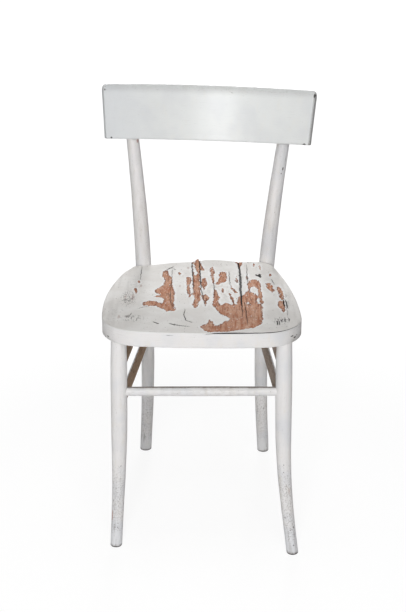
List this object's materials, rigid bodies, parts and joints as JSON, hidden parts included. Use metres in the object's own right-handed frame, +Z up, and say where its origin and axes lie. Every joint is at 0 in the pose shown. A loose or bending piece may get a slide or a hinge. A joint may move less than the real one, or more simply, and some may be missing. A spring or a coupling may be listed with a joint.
{
  "type": "wooden kitchen chair",
  "caption": "Painted bent-wood kitchen chair: thin plywood seat on a bent ring, outswept round legs, dowel stretchers and a curved plywood back panel held by the rear legs' raked posts.",
  "frame": {"origin": "on the floor, under the middle of the chair's bounding box", "axes": "+Z up, -Y the way the sitter faces (the chair's front), +X the right-hand side as seen from the front"},
  "size_m": [0.4456, 0.504, 0.8449],
  "materials": {
    "painted_wood": "old white paint over beech, chipped and dirty",
    "painted_plywood": "old white paint over thin plywood, cracked and flaking",
    "bare_wood": "bare, dry",
    "steel": "dull, slightly rusty"
  },
  "bodies": {
    "root": {"seat_panel": "painted_plywood", "seat_ring": "painted_wood", "front_left_leg": "painted_wood", "front_right_leg": "painted_wood", "rear_left_leg": "painted_wood", "rear_right_leg": "painted_wood", "front_stretcher": "painted_wood", "rear_stretcher": "painted_wood", "left_lower_stretcher": "painted_wood", "left_upper_stretcher": "painted_wood", "right_lower_stretcher": "painted_wood", "right_upper_stretcher": "painted_wood", "back_panel": "painted_plywood", "front_leg_wedges": "bare_wood", "back_panel_screws": "steel", "seat_bolts": "steel", "seat_bolt_washers": "steel", "seat_bolt_nuts": "steel", "seat_panel_nails": "steel"}
  },
  "joints": []
}
